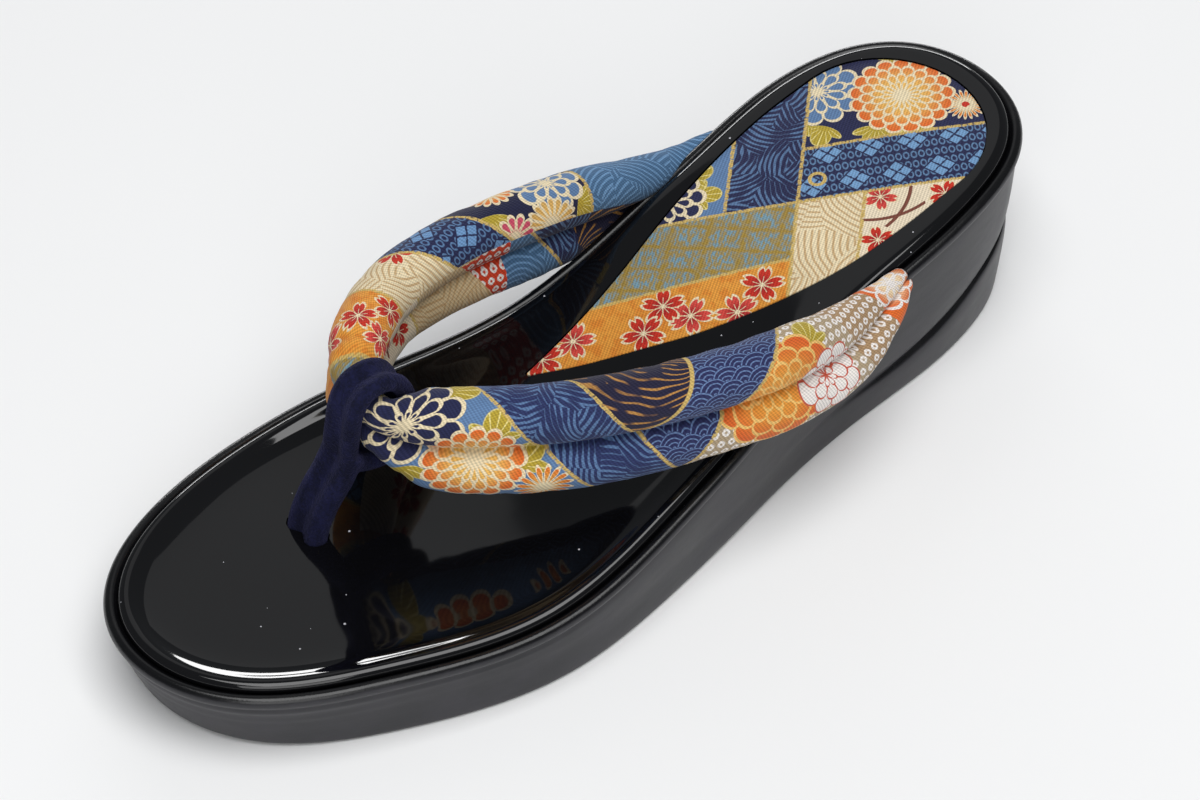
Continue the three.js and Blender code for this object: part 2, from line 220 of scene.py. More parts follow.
def finish_shell(name, shell, levels):
    """The shell as an object: doubles merged, faces outwards, smoothed by a subdivision surface."""
    bmesh.ops.remove_doubles(shell, verts=shell.verts, dist=1e-6)
    bmesh.ops.recalc_face_normals(shell, faces=shell.faces)
    mesh = bpy.data.meshes.new(name)
    shell.to_mesh(mesh)
    shell.free()
    mesh.polygons.foreach_set("use_smooth", [True] * len(mesh.polygons))
    piece = new_object(name, mesh)
    if levels:
        smoother = piece.modifiers.new("smooth", "SUBSURF")
        smoother.levels = levels
        smoother.render_levels = levels
    return piece


def settle(piece):
    """Puts the modifiers' result into the mesh, so that nothing on the piece stays live."""
    graph = bpy.context.evaluated_depsgraph_get()
    result = bpy.data.meshes.new_from_object(piece.evaluated_get(graph))
    piece.modifiers.clear()
    piece.data = result
    triangles = sum(len(face.vertices) - 2 for face in result.polygons)
    print(piece.name, triangles, "triangles")


# %% [markdown]
# ## The wedge sole
# The real wedge is a cork or foam block with a skin of black synthetic leather drawn over it. The skin
# turns in a small bead round the top, and at the heel the block has two tiers with a soft crease between
# them. It is one loft from the middle of the underside, up the wall and over the bead to the seat
# that the board lies on.

# %% Loft the sole
def crease_depth(y):
    return max(0, through(TIER_CREASE, 2, row_at(TIER_CREASE, y)))


def crease_height(y):
    return through(TIER_CREASE, 1, row_at(TIER_CREASE, y))


sole_rings = [ring_at(lambda p: 9, underside_height, share) for share in (1, 0.5, 0)]
for inset, rise in ((1.3, 0), (0.3, 0.4), (0, 1.5)):
    sole_rings.append(ring_at(lambda p: p["draft"] + inset, lambda y: underside_height(y) + rise))
# height from the crease, share of the wall's draft, share of the crease's depth
WALL_ROWS = ((-2.2, 0.55, -0.35), (-0.7, 0.5, 0.15), (0, 0.45, 1), (0.7, 0.4, 0.45), (2.6, 0.35, 0))
for rise, lean, share in WALL_ROWS:
    sole_rings.append(
        ring_at(
            lambda p: 0.6 + p["draft"] * lean + share * crease_depth(p["y"]),
            lambda y: crease_height(y) + rise,
        )
    )
for inset, drop in ((0.9, 3.2), (1.3, 1.8)):
    sole_rings.append(ring_at(lambda p: inset, lambda y: edge_height(y) - drop))
for degrees in (-55, -20, 15, 50, 85, 125):
    angle = math.radians(degrees)
    inset = BEAD_RADIUS * (1 - math.cos(angle))
    rise = BEAD_RADIUS * math.sin(angle)
    sole_rings.append(ring_at(lambda p: inset, lambda y: edge_height(y) + rise))
for inset, share in ((3.4, 0), (12, 0), (12, 0.5), (12, 1)):
    sole_rings.append(ring_at(lambda p: inset, lambda y: edge_height(y) - GAP, share))
wedge_sole = finish_shell("wedge_sole", loft(sole_rings), 2)

# %% [markdown]
# ## The enamel board
# The board is a thin lacquered sheet with a soft rolled rim. In front it is dished so that the foot
# lies in it, and round the heel it stays high as a wide shoulder. The lacquer is so glossy that its
# reflections draw the shape, so the rim has nine rings of its own.

# %% Loft the board
board_rings = [ring_at(lambda p: 12, edge_height, share) for share in (1, 0.5, 0)]
for row in BOARD_EDGE:
    board_rings.append(ring_at(lambda p: row[0], lambda y: board_height(y, row)))
for share in (0.33, 0.67, 1):
    board_rings.append(ring_at(lambda p: 13, board_floor, share))
enamel_board = finish_shell("enamel_board", loft(board_rings), 2)

# %% [markdown]
# ## The padded strap
# The strap, called a hanao, is a tube of patchwork cotton over padding, sewn down its middle so that it
# makes two rolls with a crease between them. Its section is drawn once and swept along the strap's
# line. Each point also gets its place on the flat cloth, so that the print follows the strap.
# The print is charted in millimetres: along from the front, and round from the upper edge.

# %% Strap table and stations
# outer x, inner x, y, outer z, inner z, lean, roll, half the distance between the rolls
STRAP_SECTIONS = [
    (-1.8, -1.8, -55.2, 44.9, 44.9, 0, 3.7, 3.4),
    (3.4, -7.2, -54.6, 44.7, 44.7, 1, 4, 3.7),
    (8.6, -13, -50.2, 43.8, 43.8, 4, 6, 5.5),
    (14.4, -19.4, -43.8, 42.8, 42.8, 7, 6.6, 6),
    (20.8, -25.4, -34.8, 42, 42, 10, 6.6, 6),
    (27.8, -28.6, -23.9, 42, 41.8, 10, 6.6, 6),
    (34.7, -29.3, -9.8, 42.3, 41.1, 7, 6.6, 6),
    (39.1, -28.7, 4.9, 41.6, 39.3, 5, 6.5, 6),
    (41.2, -29.2, 20.4, 39.3, 36, 9, 6.3, 5.8),
    (39.9, -30.8, 38.9, 35.6, 31.5, 22, 5.2, 4.8),
    (36.2, -31.2, 54, 35, 31, 32, 3.5, 2.9),
    (32.4, -29.2, 65.2, 35.6, 34.4, 36, 1.8, 1.1),
]
STATIONS_PER_ROW = 6
UP = Vector((0, 0, 1))
ROLL_ANGLES = (90, 68, 46, 26, 8, -12, -32, -50)
FLAT_CREASE = 0.34  # the crease's depth over the roll's radius, where the cloth was printed
CLOTH_FRONT = 200  # mm along the flat cloth, where the strap's front lies
CLOTH_EDGE = 50  # mm across the flat cloth, where its upper edge lies


def strap_line(at):
    """The strap's centre in the tables' millimetres; at counts rows from the front, negative inwards."""
    row = abs(at)
    x = through(STRAP_SECTIONS, 1 if at < 0 else 0, row)
    z = through(STRAP_SECTIONS, 4 if at < 0 else 3, row)
    return Vector((x, through(STRAP_SECTIONS, 2, row), z))


def strap_section(roll, spread, crease):
    """Points round the two rolls: from the lower edge up the outer face, and down the inner face."""
    turns = [math.radians(angle) for angle in ROLL_ANGLES]
    lower = [(roll * math.cos(t), min(-spread - roll * math.sin(t), -0.15 * roll)) for t in turns]
    face = lower + [(roll - crease, 0)] + [(x, -y) for x, y in reversed(lower)]
    return face + [(-x, y) for x, y in reversed(face[1:-1])]


def strap_rings(grow, crease_share, puckers):
    """Rings along the strap, and for each ring its (along, round) places on the cloth."""
    last = (len(STRAP_SECTIONS) - 1) * STATIONS_PER_ROW
    rows = [step / STATIONS_PER_ROW for step in range(-last, last + 1)]
    centres = [strap_line(row) for row in rows]
    for _ in range(3):  # the front's corner is eased, as the stuffed tube eases it
        for i in range(last - 4, last + 5):
            centres[i] = (centres[i - 1] + centres[i] * 2 + centres[i + 1]) / 4
    along = [0.0]
    for before, after in zip(centres, centres[1:]):
        along.append(along[-1] + (after - before).length)
    front = along[last]
    rings, cloth = [], []
    for index, row in enumerate(rows):
        tangent = centres[min(index + 1, len(rows) - 1)] - centres[max(index - 1, 0)]
        outward = tangent.cross(UP).normalized()
        rise = outward.cross(tangent).normalized()
        lean = math.radians(through(STRAP_SECTIONS, 5, abs(row)))
        wide = rise * math.cos(lean) - outward * math.sin(lean)
        thick = outward * math.cos(lean) + rise * math.sin(lean)
        roll = through(STRAP_SECTIONS, 6, abs(row))
        spread = through(STRAP_SECTIONS, 7, abs(row))
        section = strap_section(roll + grow, spread, roll * crease_share)
        flat = strap_section(roll, spread, roll * FLAT_CREASE)
        steps = [math.dist(a, b) for a, b in zip(flat, flat[1:] + flat[:1])]
        top = sum(steps[: len(section) // 2])
        ring, places, round_it = [], [], top
        for (across, up_down), step in zip(section, steps):
            here = along[index] - front
            wrinkle = noise.noise(Vector((here * 0.32, round_it * 0.1, 2)))
            wrinkle += 0.6 * noise.noise(Vector((here * 0.7, round_it * 0.16, 9)))
            squeeze = 1 + 2.2 * math.exp(-((here / 14) ** 2))
            pulled = 1 - max(0, wrinkle) * puckers * squeeze / max(roll, 2)
            point = centres[index] + thick * across * pulled + wide * up_down * pulled
            ring.append(row_frame(*point))
            places.append(((CLOTH_FRONT + here) * MM, (CLOTH_EDGE + round_it) * MM, sum(steps) * MM))
            round_it -= step
        rings.append(ring)
        cloth.append(places)
    return rings, cloth


def close_ends(shell, rings):
    """A face over each end of the tube."""
    around = len(rings[0])
    for start in (0, len(shell.verts) - around):
        shell.verts.ensure_lookup_table()
        ends = [shell.verts[start + i] for i in range(around)]
        edges = [shell.edges.get((ends[i - 1], ends[i])) for i in range(around)]
        bmesh.ops.contextual_create(shell, geom=edges)


def make_strap(name, grow, crease_share, puckers):
    rings, cloth = strap_rings(grow, crease_share, puckers)
    shell = loft(rings)
    shell.verts.ensure_lookup_table()
    around = len(rings[0])
    place_of = {}
    for index, vert in enumerate(shell.verts):
        place_of[vert] = cloth[index // around][index % around]
    sharpness = shell.edges.layers.float.new("crease_edge")
    for edge in shell.edges:
        columns = {vert.index % around for vert in edge.verts}
        if columns in ({len(ROLL_ANGLES)}, {around // 2 + len(ROLL_ANGLES)}):
            edge[sharpness] = 0.9
    close_ends(shell, rings)
    uv = shell.loops.layers.uv.new("cloth")
    for face in shell.faces:
        rounds = [place_of[loop.vert][1] for loop in face.loops]
        wraps = len(face.loops) == 4 and max(rounds) - min(rounds) > place_of[face.loops[0].vert][2] / 2
        for loop in face.loops:
            along, up_round, girth = place_of[loop.vert]
            wrapped = wraps and up_round > CLOTH_EDGE * MM
            loop[uv].uv = (along, up_round - girth if wrapped else up_round)
    return finish_shell(name, shell, 1)


padded_strap = make_strap("padded_strap", 0, 0.78, 0.5)
settle(padded_strap)

# %% [markdown]
# ## The velvet thong
# The thong is one band of velvet folded over a cord. It comes up through the hole in the board as two
# strands side by side, goes round the front of the strap and is sewn to itself. Stem and loop are
# swept apart, then remeshed as one skin, which fills the joint softly as the nap does.

# %% Thong routes and sweep
STEM_ROUTE = [
    (-5.7, -70.2, 5),
    (-5.7, -69.8, 17),
    (-5, -67.2, 25),
    (-3.8, -63.6, 32),
    (-2.8, -61.4, 38),
]
LOOP_ROUTE = [
    (-2.8, -61.9, 38),
    (-2.2, -61.6, 45),
    (-1.8, -60.6, 51.2),
    (-1.8, -57.6, 54.8),
    (-1.8, -52.6, 55),
    (-1.8, -48.9, 52),
    (-1.8, -46.8, 45),
    (-1.9, -47.4, 37.4),
    (-2.2, -52.6, 33.9),
    (-2.9, -58.6, 34.6),
]
STEM_ROLL, LOOP_ROLL = 2.7, 2.1
STRAND_SPREAD = 2.7


def sweep_rings(route, roll, spread, closed):
    """Rings of the two-strand section along a route, in the frame."""
    steps = 5 * (len(route) - 1)
    table = [route[-1], *route, route[0], route[1]] if closed else route
    span = len(route) if closed else len(route) - 1
    start = 1 if closed else 0
    spots = [start + span * step / steps for step in range(steps + (0 if closed else 1))]
    centres = [Vector([through(table, axis, at) for axis in range(3)]) for at in spots]
    rings = []
    for index, centre in enumerate(centres):
        after = centres[(index + 1) % len(centres)] if closed or index + 1 < len(centres) else centre
        before = centres[index - 1] if closed or index > 0 else centre
        thick = Vector((1, 0, 0)).cross(after - before).normalized()
        ring = []
        for side in (1, -1):
            for degrees in (0, 30, 60, 90, 120, 150, 180):
                angle = math.radians(degrees)
                across = side * roll * math.cos(angle)
                sideways = side * (spread + roll * math.sin(angle))
                ring.append(centre + thick * across + Vector((sideways, 0, 0)))
            ring.append(centre - thick * side * (roll - 1.5))
        rings.append([row_frame(*point) for point in ring])
    return rings


def stem_shell(grow):
    rings = sweep_rings(STEM_ROUTE, STEM_ROLL + grow, STRAND_SPREAD, False)
    shell = loft(rings)
    close_ends(shell, rings)
    return shell


def thong_shell():
    shell = stem_shell(0)
    loop = sweep_rings(LOOP_ROUTE, LOOP_ROLL, STRAND_SPREAD, True)
    band = loft(loop + [loop[0]])
    bmesh.ops.remove_doubles(band, verts=band.verts, dist=1e-6)
    scrap = bpy.data.meshes.new("band")
    band.to_mesh(scrap)
    band.free()
    shell.from_mesh(scrap)
    bpy.data.meshes.remove(scrap)
    return shell


velvet_thong = finish_shell("velvet_thong", thong_shell(), 0)
skin = velvet_thong.modifiers.new("skin", "REMESH")
skin.mode = "VOXEL"
skin.voxel_size = 0.42 * MM
skin.use_smooth_shade = True
nap = velvet_thong.modifiers.new("nap", "SMOOTH")
nap.factor = 0.6
nap.iterations = 2
settle(velvet_thong)

# %% [markdown]
# ## The printed inlay
# The inlay is one flat piece of cotton, cut like a drop and glued into a shallow recess so that it lies
# flush with the lacquer. It is lofted the same way, from its outline in to a line down its middle, and
# follows the board's floor. A second, slightly larger one cuts the recess.

# %% Inlay outline and loft
# y, inner x and outer x of the two long edges
INLAY_SECTIONS = [
    (-9, -7.2, -6.6),
    (0, -8.2, -0.3),
    (12, -10, 6.8),
    (24, -12.6, 13.6),
    (40, -16.8, 19.8),
    (56, -20.2, 23.4),
    (72, -22.4, 24.2),
    (88, -23, 23.4),
]


def inlay_outline(grow):
    steps = [row / 4 for row in range(4 * (len(INLAY_SECTIONS) - 1))]
    right, left = [], []
    for at in steps:
        y = through(INLAY_SECTIONS, 0, at) - (0 if at else grow)
        right.append((through(INLAY_SECTIONS, 2, at) + grow, y))
        left.append((through(INLAY_SECTIONS, 1, at) - grow, y))
    start, inner, outer = INLAY_SECTIONS[-1]
    heel = []
    for step in range(25):
        angle = step / 24 * math.pi
        x = (inner + outer) / 2 + ((outer - inner) / 2 + grow) * math.cos(angle)
        heel.append((x, start + (22.6 + grow) * math.sin(angle)))
    return right + heel + left[::-1]


def inlay_ring(outline, share, height):
    ring = []
    for x, y in outline:
        spine_y = min(max(y, -3), 88)
        at = row_at(INLAY_SECTIONS, spine_y)
        spine_x = (through(INLAY_SECTIONS, 1, at) + through(INLAY_SECTIONS, 2, at)) / 2
        place = (x + (spine_x - x) * share, y + (spine_y - y) * share)
        ring.append(row_frame(*place, board_floor(place[1]) + height))
    return ring


def inlay_shell(grow, low, high):
    outline = inlay_outline(grow)
    rings = [inlay_ring(outline, share, low) for share in (1, 0.5, 0)]
    rings += [inlay_ring(outline, share, high) for share in (0, 0.5, 1)]
    return loft(rings)


printed_inlay = finish_shell("printed_inlay", inlay_shell(0, -0.6, 0), 0)
softened = printed_inlay.modifiers.new("cut edge", "BEVEL")
softened.width = 0.15 * MM
softened.segments = 2
softened.limit_method = "ANGLE"
settle(printed_inlay)
outline = inlay_outline(0)
shoelace = sum(a[0] * b[1] - b[0] * a[1] for a, b in zip(outline, outline[1:] + outline[:1])) / 2
print("inlay cut from", round(shoelace), "mm2 of cloth")

# %% [markdown]
# ## Slots for the strap, the thong and the inlay
# The strap's tails lie in grooves beside the board, the thong goes down a hole and the inlay lies in a
# recess. Each groove is cut with a copy of the piece that lies in it, grown by the 0.3 mm of air that
# the frame keeps between neighbours.

# %% Cut the slots
def carve(piece, *cutters):
    for cutter in cutters:
        slot = piece.modifiers.new("slot", "BOOLEAN")
        slot.operation = "DIFFERENCE"
        slot.solver = "EXACT"
        slot.object = cutter
    settle(piece)
    piece.data.set_sharp_from_angle(angle=math.radians(32))


strap_slot = make_strap("strap_slot", GAP, 0.2, 0)
thong_slot = finish_shell("thong_slot", stem_shell(GAP), 0)
inlay_slot = finish_shell("inlay_slot", inlay_shell(GAP, -0.9, 3), 0)
carve(wedge_sole, strap_slot, thong_slot)
carve(enamel_board, strap_slot, thong_slot, inlay_slot)
for cutter in (strap_slot, thong_slot, inlay_slot):
    bpy.data.objects.remove(cutter)

# %% [markdown]
# ## A bench for shader nodes
# Every finish below is drawn with maths, so a few short helpers keep the nodes readable. A helper adds
# its node and gives back a signal, and signals add and multiply as numbers do, each time by one more
# node. Sizes on the cloth are in millimetres.

# %% Node helpers
class Signal:
    """One output on a bench. It adds and multiplies like a number, and a yes is 1."""

    def __init__(self, bench, socket):
        self.bench = bench
        self.socket = socket

    def __add__(self, other):
        return self.bench.math("ADD", self, other)

    def __radd__(self, other):
        return self.bench.math("ADD", other, self)

    def __sub__(self, other):
        return self.bench.math("SUBTRACT", self, other)

    def __rsub__(self, other):
        return self.bench.math("SUBTRACT", other, self)

    def __mul__(self, other):
        return self.bench.math("MULTIPLY", self, other)

    def __truediv__(self, other):
        return self.bench.math("DIVIDE", self, other)

    def __mod__(self, other):
        return self.bench.math("MODULO", self, other)

    def __pow__(self, other):
        return self.bench.math("POWER", self, other)

    def __lt__(self, other):
        return self.bench.math("LESS_THAN", self, other)

    def __gt__(self, other):
        return self.bench.math("GREATER_THAN", self, other)

    def __abs__(self):
        return self.bench.math("ABSOLUTE", self)


class Bench:
    """Adds nodes to one tree, each by a single call."""

    def __init__(self, tree):
        self.tree = tree

    def feed(self, socket, value):
        if isinstance(value, Signal):
            self.tree.links.new(value.socket, socket)
        elif value is not None:
            socket.default_value = value

    def node(self, kind, inputs=None, **settings):
        """A new node with its settings made and its inputs fed; gives back its outputs."""
        made = self.tree.nodes.new(kind)
        for name, value in settings.items():
            setattr(made, name, value)
        for socket, value in (inputs or {}).items():
            self.feed(made.inputs[socket], value)
        return [Signal(self, output) for output in made.outputs]

    def named(self, kind, inputs=None, **settings):
        """The same, with the outputs by name."""
        return {signal.socket.name: signal for signal in self.node(kind, inputs, **settings)}

    def math(self, operation, *values, clamp=False):
        inputs = dict(enumerate(values))
        return self.node("ShaderNodeMath", inputs, operation=operation, use_clamp=clamp)[0]

    def most(self, first, second, clamp=False):
        return self.math("MAXIMUM", first, second, clamp=clamp)

    def sine(self, value):
        return self.math("SINE", value)

    def centred(self, value):
        """The part of a step, from -0.5 to 0.5."""
        return self.math("FRACT", value) - 0.5

    def from_middle(self, x, y):
        return self.math("SQRT", x * x + y * y)

    def vector(self, operation, *values):
        inputs = dict(enumerate(values))
        output = "Value" if operation == "LENGTH" else "Vector"
        return self.named("ShaderNodeVectorMath", inputs, operation=operation)[output]

    def scaled(self, vector, scale):
        return self.node("ShaderNodeVectorMath", {0: vector, "Scale": scale}, operation="SCALE")[0]

    def stretched(self, vector, *scales):
        return self.vector("MULTIPLY", vector, scales)

    def parts(self, vector):
        return self.node("ShaderNodeSeparateXYZ", {0: vector})

    def joined(self, x, y, z=0.0):
        return self.node("ShaderNodeCombineXYZ", {0: x, 1: y, 2: z})[0]

    def in_millimetres(self):
        """The place on the sandal."""
        return self.scaled(self.named("ShaderNodeTexCoord")["Object"], 1 / MM)

    def ramp(self, value, low, high, start=0.0, end=1.0):
        """A soft step: start below low, end above high."""
        inputs = {"Value": value, "From Min": low, "From Max": high, "To Min": start, "To Max": end}
        return self.node("ShaderNodeMapRange", inputs, interpolation_type="SMOOTHSTEP")[0]

    def line(self, off, inside, outside):
        """1 nearer than inside, falling to 0 at outside."""
        return self.ramp(off, inside, outside, 1.0, 0.0)

    def cover(self, below, above, mask):
        """Colour above laid over colour below where the mask is 1."""
        return self.node("ShaderNodeMix", {0: mask, 6: below, 7: above}, data_type="RGBA")[2]

    def noise(self, place, scale, detail=2.0, roughness=0.5, output="Fac"):
        inputs = {"Vector": place, "Scale": scale, "Detail": detail, "Roughness": roughness}
        return self.named("ShaderNodeTexNoise", inputs)[output]

    def drift(self, place, scale):
        """A slow random shift, even about nothing."""
        return self.vector("SUBTRACT", self.noise(place, scale, 1, 0.5, "Color"), (0.5, 0.5, 0.5))

    def cells(self, place, scale, feature="F1"):
        return self.named("ShaderNodeTexVoronoi", {"Vector": place, "Scale": scale}, feature=feature)

    def placed(self, place, x, y, degrees=0.0):
        """place measured from a spot, with its X turned by degrees."""
        inputs = {"Vector": place, "Location": (x, y, 0), "Rotation": (0, 0, math.radians(degrees))}
        return self.node("ShaderNodeMapping", inputs, vector_type="TEXTURE")[0]

    def bump(self, height, distance, strength=1.0, normal=None):
        inputs = {"Strength": strength, "Distance": distance, "Height": height, "Normal": normal}
        return self.node("ShaderNodeBump", inputs)[0]

    def use(self, group, **values):
        """A shared group placed in this tree; gives back its outputs by name."""
        return self.named("ShaderNodeGroup", values, node_tree=group)

    def dress(self, **values):
        """Feeds the material's shader, with _ for the space in an input's name."""
        shader = self.tree.nodes["Principled BSDF"]
        for name, value in values.items():
            self.feed(shader.inputs[name.replace("_", " ")], value)


SOCKET_KINDS = {
    "Place": "NodeSocketVector",
    "Ground": "NodeSocketColor",
    "Figure": "NodeSocketColor",
    "Colour": "NodeSocketColor",
}


def new_socket(group, label, side):
    kind = SOCKET_KINDS.get(label, "NodeSocketFloat")
    return group.interface.new_socket(label, in_out=side, socket_type=kind)


def shared_group(name, draw, **settings):
    """A node group that takes a place and the settings. draw gives back its outputs by name."""
    group = bpy.data.node_groups.new(name, "ShaderNodeTree")
    new_socket(group, "Place", "INPUT")
    for label, default in settings.items():
        new_socket(group, label, "INPUT").default_value = default
    bench = Bench(group)
    given = bench.named("NodeGroupInput")
    drawn = draw(bench, given["Place"], *[given[label] for label in settings])
    for label in drawn:
        new_socket(group, label, "OUTPUT")
    bench.node("NodeGroupOutput", drawn)
    return group


def dye(code):
    """A dye's colour from the six digits that a colour card gives it."""
    shares = [int(code[i : i + 2], 16) / 255 for i in (0, 2, 4)]
    return (*[s / 12.92 if s <= 0.04045 else ((s + 0.055) / 1.055) ** 2.4 for s in shares], 1)


NAVY = dye("20244a")
BLUE = dye("5f7fa8")
DENIM = dye("466a8e")
SKY = dye("739cc6")
ORANGE = dye("e06a26")
AMBER = dye("e39a3c")
STRAW = dye("e8b65e")
MUSTARD = dye("b39c34")
CREAM = dye("ead9b4")
TAN = dye("bf9a68")
RED = dye("c9301c")
PINK = dye("d6493f")
BROWN = dye("7c4638")
GOLD = dye("cdaf66")
OCHRE = dye("a2863a")
MIST = dye("7698a8")
WHITE = dye("f0e9e4")
PAPER = dye("ecdcc0")
OLD_STRAW = dye("d6bf96")
WEAVE_BLUE = dye("6b93c0")
REED_GROUND = dye("1f1d38")
REED_GOLD = dye("b58243")
BLACK = dye("08080a")
print("dyes mixed")

# %% [markdown]
# ## Flowers for the print
# The print's flowers are all built from one idea: turn the cloth's place into an angle and a distance
# from the flower's middle. A chrysanthemum is rings of round petals, each ring half a petal on from the
# last, and the inner petals lie over the outer ones. A cherry blossom is a five-fold curve with a notch.

# %% Flower groups
def chrysanthemum(b, place, radius, petals, rings, line):
    x, y, _ = b.parts(place)
    distance = b.from_middle(x, y)
    turn = b.math("ARCTAN2", y, x) / math.tau * petals
    ring_width = radius / rings
    rings_out = distance / ring_width
    ring = b.math("FLOOR", rings_out)
    part = rings_out - ring

    def petal(ring_number):
        return b.centred(turn + (ring_number % 2 * 0.5 + 40))

    across = petal(ring)
    tip = b.math("SQRT", 1 - across * across * 3.7) * 0.85
    shown_ring = ring + (part > tip)
    shown_across = abs(petal(shown_ring))
    to_side = (1 - shown_across * 2) * (distance * math.pi / petals)
    to_tip = abs(part - tip) * ring_width
    nearest = b.math("MINIMUM", to_side, to_tip * 0.8)
    bloom = shown_ring + 0.5 < rings
    edge = b.line(nearest, line * 0.6, line)
    outer_line = (distance - radius < 0) * edge
    outline = b.most(bloom, outer_line * (to_tip < line)) * edge
    depth = b.math("DIVIDE", distance, radius, clamp=True)
    return {"Bloom": bloom, "Outline": outline, "Depth": depth}


def blossom(b, place, radius):
    x, y, _ = b.parts(place)
    share = b.from_middle(x, y) / radius
    turn = b.math("ARCTAN2", y, x) / math.tau * 5
    across = abs(b.centred(turn + 20))
    petal = b.math("COSINE", across * math.pi) ** 0.5 * 1.0
    notch = b.ramp(across, 0.0, 0.1, 0.24, 0.0)
    inside = petal - notch - share
    slit = b.line((0.5 - across) * share, 0.014, 0.036)
    bloom = inside > -0.13
    petals = b.ramp(inside, 0.0, 0.04)
    stamen = b.line(across * share, 0.006, 0.02) * (share < 0.5)
    stamen = b.most(stamen, share < 0.12)
    lines = b.most(1 - petals, b.most(slit, stamen), clamp=True)
    return {"Bloom": bloom, "Outline": lines * bloom, "Heart": b.line(share, 0.15, 0.75)}


def leaf(b, place, size):
    x, y, _ = b.parts(b.vector("DIVIDE", place, b.joined(size, size, 1)))
    distance = b.from_middle(x, y)
    angle = b.math("ARCTAN2", y, x)
    lobes = abs(b.math("COSINE", angle * 2.2))
    spread = b.line(abs(angle), 0.95, 1.75)
    reach = spread * (0.6 + lobes * 0.42)
    shown = b.ramp(reach - distance, 0.0, 0.05)
    veins = b.line(abs(b.sine(angle * 9)), 0.18, 0.34)
    rim = b.line(abs(reach - distance), 0.04, 0.09)
    return {"Leaf": shown, "Veins": b.most(veins * (distance > 0.25), rim) * shown}


CHRYSANTHEMUM = shared_group("chrysanthemum", chrysanthemum, Radius=8, Petals=12, Rings=3, Line=0.35)
BLOSSOM = shared_group("cherry blossom", blossom, Radius=4.5)
LEAF = shared_group("fan leaf", leaf, Size=4)
print("flower groups made")

# %% [markdown]
# ## Grounds for the print
# Between the flowers, each patch has an old woven or dyed pattern: curling water, overlapping sea
# scales, a diamond weave, gold brocade, tie-dyed rings and drawn lines. They repeat, so each is one group
# with a ground colour and a figure colour.

# %% Ground groups
def ground_group(name, draw):
    def drawn(b, place, ground, figure):
        return {"Colour": b.cover(ground, figure, draw(b, place))}

    return shared_group(name, drawn, Ground=NAVY, Figure=BLUE)


def combed(b, place, cell, pitch, drift):
    """Bundles of parallel arcs, each bundle turned its own way, as a comb draws them."""
    bent = b.vector("ADD", place, b.scaled(b.drift(place, 0.1), drift))
    bent = b.stretched(bent, 1, 1, 0)
    bundle = b.cells(bent, 1 / cell)
    turn = (b.parts(bundle["Color"])[0] - 0.5) * 3.4
    far = b.joined(b.sine(turn) * (cell * 1.5), b.math("COSINE", turn) * (cell * 1.5))
    reach = b.vector("LENGTH", b.vector("SUBTRACT", b.vector("SUBTRACT", bent, bundle["Position"]), far))
    return b.sine(reach * (math.tau / pitch))


def water(b, place):
    strokes = combed(b, place, 8.5, 1.25, 4.0)
    broad = b.ramp(b.noise(place, 0.2, 2), 0.38, 0.62, 0.9, -0.1)
    return b.ramp(strokes - broad, -0.3, 0.45, 0.0, 0.8)


def scale_distance(b, x, y, row):
    """Distance to the nearest scale's middle in one row, with scales 2 wide and rows 0.5 apart."""
    offset = (row + 400) % 2
    across = x - offset
    nearest = across - b.math("ROUND", across / 2) * 2
    above = y - row * 0.5
    return b.from_middle(nearest, above)


def scales(b, place):
    wobble = b.scaled(b.drift(place, 0.25), 1.1)
    x, y, _ = b.parts(b.scaled(b.vector("ADD", place, wobble), 0.3))
    row = b.math("FLOOR", y * 2)
    near = scale_distance(b, x, y, row - 1)
    far = scale_distance(b, x, y, row)
    shown = near * (near < 1) + far * (near > 1)
    lines = b.sine(shown * (3.5 * math.tau))
    return b.ramp(lines, 0.35, 0.95, 0.0, 0.85)


def diamonds(b, place):
    x, y, _ = b.parts(place)
    band = b.centred(y / 9)
    shift = b.math("FLOOR", y / 9) * 0.5
    along = b.centred(x / 9.5 + shift)
    diamond = abs(along) + abs(band)
    inside = b.line(diamond, 0.33, 0.36)
    veins = b.math("MINIMUM", abs(along + band), abs(along - band))
    petals = b.ramp(veins + b.noise(place, 1.2, 2) * 0.12, 0.075, 0.11)
    link_x = b.centred(x / 1.7)
    link_y = b.centred(y / 2.9)
    link = b.vector("LENGTH", b.joined(link_x, link_y * 1.1))
    chain = b.line(abs(link - 0.34), 0.06, 0.13)
    outside = b.ramp(diamond, 0.39, 0.41)
    return b.most(inside * petals, chain * outside * 0.6)


def brocade(b, place):
    x, y, _ = b.parts(b.placed(place, 0, 0, 38))
    warp = b.centred(x / 8)
    weft = b.centred(y / 6)
    bands = b.most(abs(warp), abs(weft))
    ragged = b.noise(place, 0.7, 3, 0.7) * 0.5
    lattice = b.ramp(bands + ragged, 0.56, 0.74)
    drawn_out = b.stretched(b.joined(x, y), 1, 0.3, 1)
    threads = b.ramp(b.noise(drawn_out, 1.5, 2, 0.7), 0.44, 0.53)
    return b.most(lattice, threads * 0.85)


def tied_rings(b, place):
    x, y, _ = b.parts(b.scaled(place, 0.4))
    shift = (b.math("FLOOR", y) + 400) % 2 * 0.5
    spot_x = b.centred(x + shift)
    spot_y = b.centred(y)
    spot = b.vector("LENGTH", b.joined(spot_x, spot_y))
    spot = b.most(spot, (abs(spot_x) + abs(spot_y)) * 0.78)
    return b.line(abs(spot - 0.25), 0.09, 0.15)


def drawn_lines(b, place):
    return b.ramp(combed(b, place, 10.0, 1.35, 3.0), 0.1, 0.8, 0.0, 0.8)


